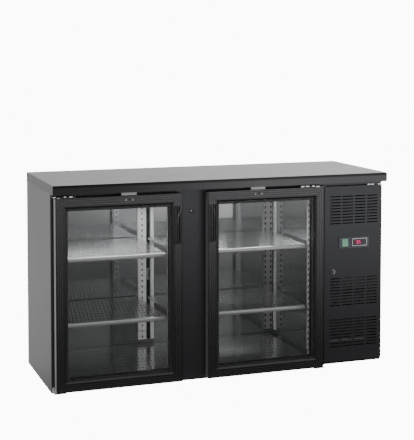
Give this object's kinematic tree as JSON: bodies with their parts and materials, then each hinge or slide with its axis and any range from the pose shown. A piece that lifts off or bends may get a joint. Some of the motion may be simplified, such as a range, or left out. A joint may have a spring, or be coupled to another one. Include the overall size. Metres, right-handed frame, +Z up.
{
  "type": "under counter fridge",
  "caption": "Low back bar bottle fridge with hinged glass doors, shelves on slotted uprights and a side-mounted refrigeration unit behind a hinged, slotted service panel.",
  "frame": {"origin": "on the floor, under the centre of the whole object", "axes": "+X to the right seen from the front, the doors face -Y, +Z up"},
  "size_m": [1.46, 0.535, 0.86],
  "materials": {
    "worktop_steel": "satin, grey coated top with a black front edge",
    "cabinet_black": "satin black",
    "side_grey": "satin, fine grained dark grey",
    "bright_aluminium": "bright, near mirror",
    "hinge_zinc": "zinc plated, bright",
    "foam": "rigid polyurethane foam",
    "clear_glass": "clear double glazing",
    "gasket_rubber": "matt",
    "black_plastic": "fine textured",
    "bezel_metal": "metallic grey",
    "lit_green": "translucent, lit from inside",
    "key_grey": "satin",
    "lamp_white": "opal diffuser",
    "motor_black": "gloss black",
    "coil_metal": "plain aluminium fins on copper tube"
  },
  "bodies": {
    "cabinet": {"worktop": "worktop_steel", "side_panel_left": "side_grey", "side_panel_right": "side_grey", "back_panel": "cabinet_black", "base_pan": "cabinet_black", "foam_insulation": "foam", "liner": "bright_aluminium", "front_frame": "cabinet_black", "mullion_cover": "cabinet_black", "shelf_left_upper": "bright_aluminium", "shelf_left_lower": "bright_aluminium", "shelf_right_upper": "bright_aluminium", "shelf_right_lower": "bright_aluminium", "floor_plate": "bright_aluminium", "pilaster_left_front": "bright_aluminium", "pilaster_left_rear": "bright_aluminium", "pilaster_centre_front": "bright_aluminium", "pilaster_centre_rear": "bright_aluminium", "pilaster_right_front": "bright_aluminium", "pilaster_right_rear": "bright_aluminium", "evaporator_cover": "bright_aluminium", "evaporator_coil": "coil_metal", "interior_lamp": "lamp_white", "door_hinge_left_top": "hinge_zinc", "door_hinge_left_bottom": "hinge_zinc", "door_hinge_right_top": "hinge_zinc", "door_hinge_right_bottom": "hinge_zinc", "lock_striker_left": "hinge_zinc", "lock_striker_right": "hinge_zinc", "panel_hinge_top": "hinge_zinc", "panel_hinge_bottom": "hinge_zinc", "compressor": "motor_black", "condenser_coil": "coil_metal", "condenser_shroud": "cabinet_black", "cord_gland": "black_plastic"},
    "door_left": {"door_frame_left": "cabinet_black", "door_glass_left": "clear_glass", "door_gasket_left": "gasket_rubber", "door_handle_left": "black_plastic", "lock_barrel_left": "hinge_zinc"},
    "door_right": {"door_frame_right": "cabinet_black", "door_glass_right": "clear_glass", "door_gasket_right": "gasket_rubber", "door_handle_right": "black_plastic", "lock_barrel_right": "hinge_zinc"},
    "lock_left": {"lock_cam_left": "hinge_zinc"},
    "lock_right": {"lock_cam_right": "hinge_zinc"},
    "service_door": {"service_panel": "cabinet_black", "control_bezel": "bezel_metal", "controller_body": "black_plastic"},
    "service_latch": {"panel_latch": "hinge_zinc"},
    "rocker": {"rocker_switch": "lit_green"},
    "key_up": {"controller_key_up": "key_grey"},
    "key_down": {"controller_key_down": "key_grey"},
    "evaporator_rotor": {"evaporator_fan": "motor_black"},
    "condenser_rotor": {"condenser_fan": "motor_black"},
    "foot_fl": {"foot_front_left": "black_plastic"},
    "foot_fr": {"foot_front_right": "black_plastic"},
    "foot_rl": {"foot_rear_left": "black_plastic"},
    "foot_rr": {"foot_rear_right": "black_plastic"}
  },
  "joints": [
    {"name": "door_left_hinge", "type": "hinge", "parent": "cabinet", "child": "door_left", "pos_m": [-0.708, -0.25, 0.42], "axis": [0, 0, -1], "range_deg": [0, 105]},
    {"name": "door_right_hinge", "type": "hinge", "parent": "cabinet", "child": "door_right", "pos_m": [0.42, -0.25, 0.42], "axis": [0, 0, 1], "range_deg": [0, 105]},
    {"name": "lock_left_turn", "type": "hinge", "parent": "door_left", "child": "lock_left", "pos_m": [-0.421, -0.2575, 0.793], "axis": [0, -1, 0], "range_deg": [0, 90]},
    {"name": "lock_right_turn", "type": "hinge", "parent": "door_right", "child": "lock_right", "pos_m": [0.133, -0.2575, 0.793], "axis": [0, -1, 0], "range_deg": [0, 90]},
    {"name": "service_panel_hinge", "type": "hinge", "parent": "cabinet", "child": "service_door", "pos_m": [0.724, -0.211, 0.42], "axis": [0, 0, 1], "range_deg": [0, 100]},
    {"name": "panel_latch_turn", "type": "hinge", "parent": "service_door", "child": "service_latch", "pos_m": [0.496, -0.218, 0.434], "axis": [0, 1, 0], "range_deg": [0, 90]},
    {"name": "rocker_tilt", "type": "hinge", "parent": "service_door", "child": "rocker", "pos_m": [0.554, -0.2135, 0.5565], "axis": [1, 0, 0], "range_deg": [0, 16]},
    {"name": "key_up_press", "type": "slide", "parent": "service_door", "child": "key_up", "axis": [0, 1, 0], "range_m": [0, 0.0008], "stiffness_N_per_m": 600},
    {"name": "key_down_press", "type": "slide", "parent": "service_door", "child": "key_down", "axis": [0, 1, 0], "range_m": [0, 0.0008], "stiffness_N_per_m": 600},
    {"name": "evaporator_fan_spin", "type": "hinge", "parent": "cabinet", "child": "evaporator_rotor", "pos_m": [-0.222, 0.0925, 0.749], "axis": [0, 0, 1], "continuous": true},
    {"name": "condenser_fan_spin", "type": "hinge", "parent": "cabinet", "child": "condenser_rotor", "pos_m": [0.59, -0.114, 0.2], "axis": [0, 1, 0], "continuous": true},
    {"name": "foot_fl_turn", "type": "hinge", "parent": "cabinet", "child": "foot_fl", "pos_m": [-0.66, -0.085, 0], "axis": [0, 0, 1], "continuous": true},
    {"name": "foot_fr_turn", "type": "hinge", "parent": "cabinet", "child": "foot_fr", "pos_m": [0.66, -0.085, 0], "axis": [0, 0, 1], "continuous": true},
    {"name": "foot_rl_turn", "type": "hinge", "parent": "cabinet", "child": "foot_rl", "pos_m": [-0.66, 0.2, 0], "axis": [0, 0, 1], "continuous": true},
    {"name": "foot_rr_turn", "type": "hinge", "parent": "cabinet", "child": "foot_rr", "pos_m": [0.66, 0.2, 0], "axis": [0, 0, 1], "continuous": true}
  ]
}
